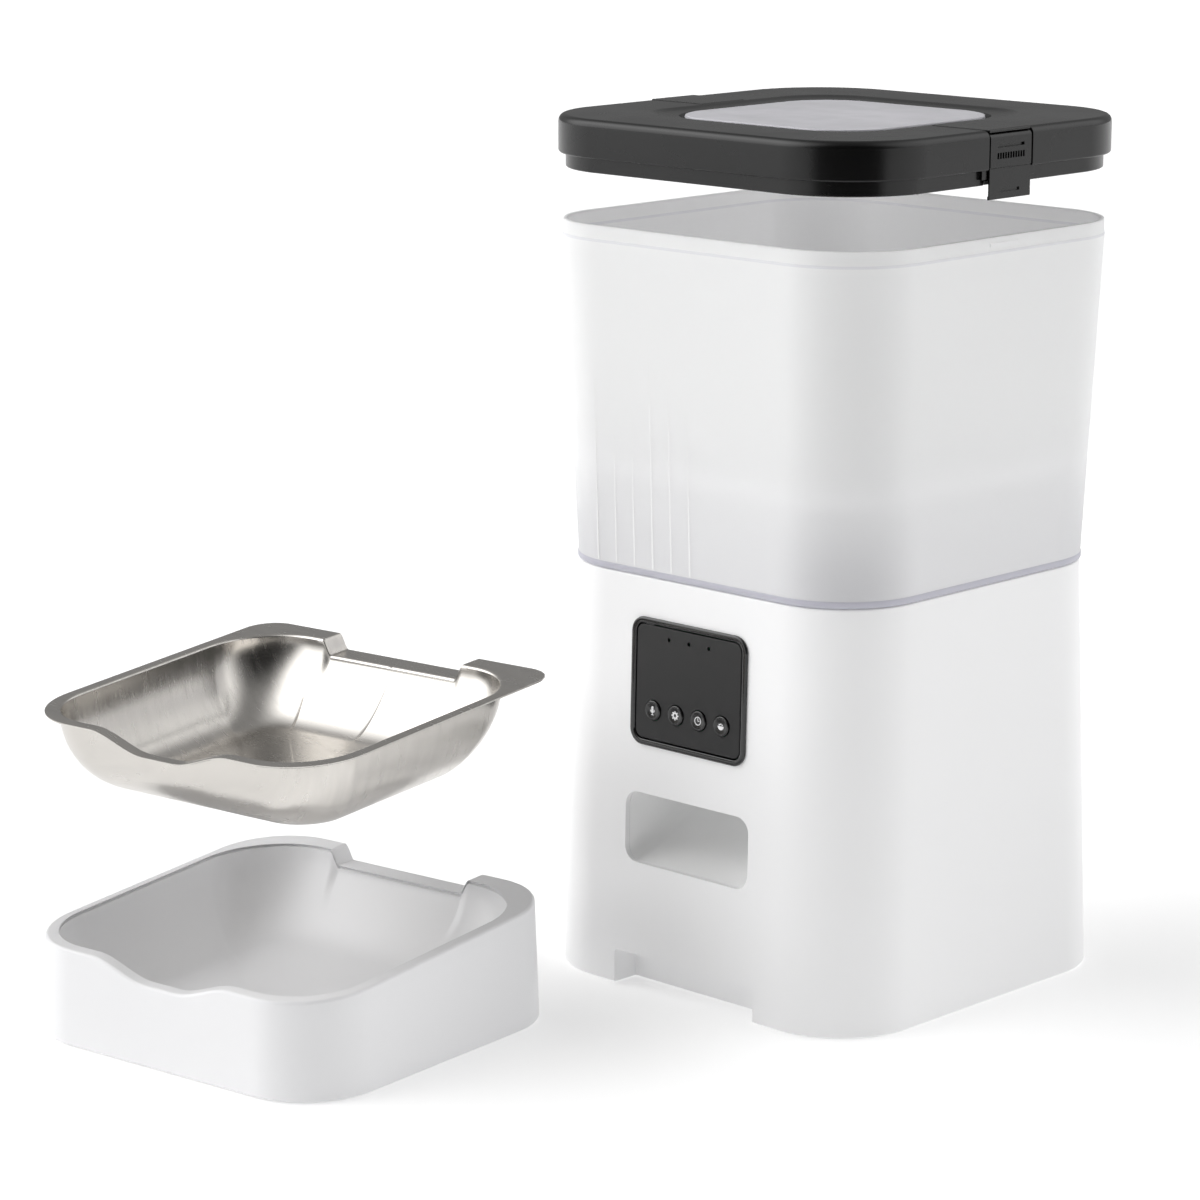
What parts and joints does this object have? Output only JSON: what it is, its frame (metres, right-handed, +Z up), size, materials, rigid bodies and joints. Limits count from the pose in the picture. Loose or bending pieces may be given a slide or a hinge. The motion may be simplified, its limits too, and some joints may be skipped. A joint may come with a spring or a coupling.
{
  "type": "automatic pet feeder",
  "caption": "Automatic pet feeder: white base with button panel and chute, frosted food hopper, latched black lid, and a tray with a lift-out steel bowl, shown apart.",
  "frame": {"origin": "middle of the base's underside, where the vertical centre line of the base meets the floor", "axes": "+Z up; -Y is the front, with the button panel, the chute and the notch for the tray; +X is the feeder's left-hand side as seen by the feeder, on the right when the front is faced"},
  "size_m": [0.2936, 0.4162, 0.3831],
  "materials": {
    "white_plastic": "satin moulded",
    "grey_plastic": "moulded",
    "matte_black": "fine texture",
    "gloss_black": "polished",
    "frosted_clear": "frosted translucent",
    "rubber": "matte",
    "soft_green": "matte",
    "steel": "satin",
    "brass": "machined",
    "circuit_board": "solder mask",
    "cell_jacket": "printed film, left plain",
    "paper_pack": "non-woven"
  },
  "bodies": {
    "base_unit": {"base_shell": "white_plastic", "bottom_cover": "white_plastic", "panel_bezel": "gloss_black", "panel_face": "matte_black", "panel_board": "circuit_board", "food_chute": "white_plastic", "dispenser_ring": "white_plastic", "dispenser_floor": "white_plastic", "outlet_guard": "white_plastic", "shaft_bush": "brass", "gear_bracket": "grey_plastic", "gear_motor": "steel", "dc_inlet": "matte_black", "speaker": "matte_black", "main_board": "circuit_board", "battery_box": "grey_plastic", "battery_cell_1": "cell_jacket", "battery_cell_2": "cell_jacket", "battery_cell_3": "cell_jacket", "contact_front": "steel", "contact_rear": "steel", "base_foot_1": "rubber", "cover_screw_1": "steel", "base_foot_2": "rubber", "cover_screw_2": "steel", "base_foot_3": "rubber", "cover_screw_3": "steel", "base_foot_4": "rubber", "cover_screw_4": "steel"},
    "hopper": {"hopper_shell": "frosted_clear"},
    "lid": {"lid_frame": "matte_black", "lid_gasket": "rubber", "lid_window": "frosted_clear", "desiccant_box": "white_plastic", "desiccant_pack": "paper_pack", "latch_plate_right": "matte_black", "latch_plate_left": "matte_black", "latch_pin_right": "steel", "latch_pin_left": "steel"},
    "latch_r": {"latch_right": "matte_black"},
    "latch_l": {"latch_left": "matte_black"},
    "rotor": {"food_rotor": "soft_green", "rotor_shaft": "steel", "drive_gear": "grey_plastic"},
    "pinion": {"motor_pinion": "brass"},
    "door": {"battery_door": "white_plastic"},
    "tray": {"tray": "white_plastic", "tray_foot_1": "rubber", "tray_foot_2": "rubber", "tray_foot_3": "rubber", "tray_foot_4": "rubber"},
    "bowl": {"bowl": "steel"},
    "talk_button_cap": {"talk_button": "matte_black"},
    "settings_button_cap": {"settings_button": "matte_black"},
    "mode_button_cap": {"mode_button": "matte_black"},
    "feed_button_cap": {"feed_button": "matte_black"}
  },
  "joints": [
    {"name": "hopper_lift", "type": "slide", "parent": "base_unit", "child": "hopper", "axis": [0, 0, 1], "range_m": [0, 0.1]},
    {"name": "lid_lift", "type": "slide", "parent": "hopper", "child": "lid", "axis": [0, 0, 1], "range_m": [-0.0219, 0.06]},
    {"name": "latch_right_swing", "type": "hinge", "parent": "lid", "child": "latch_r", "pos_m": [0.0951, 0, 0.3792], "axis": [0, -1, 0], "range_deg": [-1.2, 75]},
    {"name": "latch_left_swing", "type": "hinge", "parent": "lid", "child": "latch_l", "pos_m": [-0.0951, 0, 0.3792], "axis": [0, 1, 0], "range_deg": [-1.2, 75]},
    {"name": "rotor_spin", "type": "hinge", "parent": "base_unit", "child": "rotor", "pos_m": [0, 0, 0.15], "axis": [0, 0, 1], "continuous": true},
    {"name": "pinion_spin", "type": "hinge", "parent": "base_unit", "child": "pinion", "pos_m": [0, 0.0259, 0.129], "axis": [0, 0, 1], "continuous": true},
    {"name": "battery_door_swing", "type": "hinge", "parent": "base_unit", "child": "door", "pos_m": [0, 0.0232, 0.0024], "axis": [-1, 0, 0], "range_deg": [0, 80]},
    {"name": "tray_slide", "type": "slide", "parent": "base_unit", "child": "tray", "axis": [0.9179, 0.3969, 0], "range_m": [0, 0.11287]},
    {"name": "bowl_lift", "type": "slide", "parent": "tray", "child": "bowl", "axis": [0, 0, 1], "range_m": [-0.0965, 0.03]},
    {"name": "talk_button_press", "type": "slide", "parent": "base_unit", "child": "talk_button_cap", "axis": [0, 0.9996, -0.0265], "range_m": [0, 0.0008], "stiffness_N_per_m": 600, "springref_m": -0.0008},
    {"name": "settings_button_press", "type": "slide", "parent": "base_unit", "child": "settings_button_cap", "axis": [0, 0.9996, -0.0265], "range_m": [0, 0.0008], "stiffness_N_per_m": 600, "springref_m": -0.0008},
    {"name": "mode_button_press", "type": "slide", "parent": "base_unit", "child": "mode_button_cap", "axis": [0, 0.9996, -0.0265], "range_m": [0, 0.0008], "stiffness_N_per_m": 600, "springref_m": -0.0008},
    {"name": "feed_button_press", "type": "slide", "parent": "base_unit", "child": "feed_button_cap", "axis": [0, 0.9996, -0.0265], "range_m": [0, 0.0008], "stiffness_N_per_m": 600, "springref_m": -0.0008}
  ],
  "couplings": [
    {"joint": "pinion_spin", "follows": "rotor_spin", "ratio": -2.4}
  ]
}
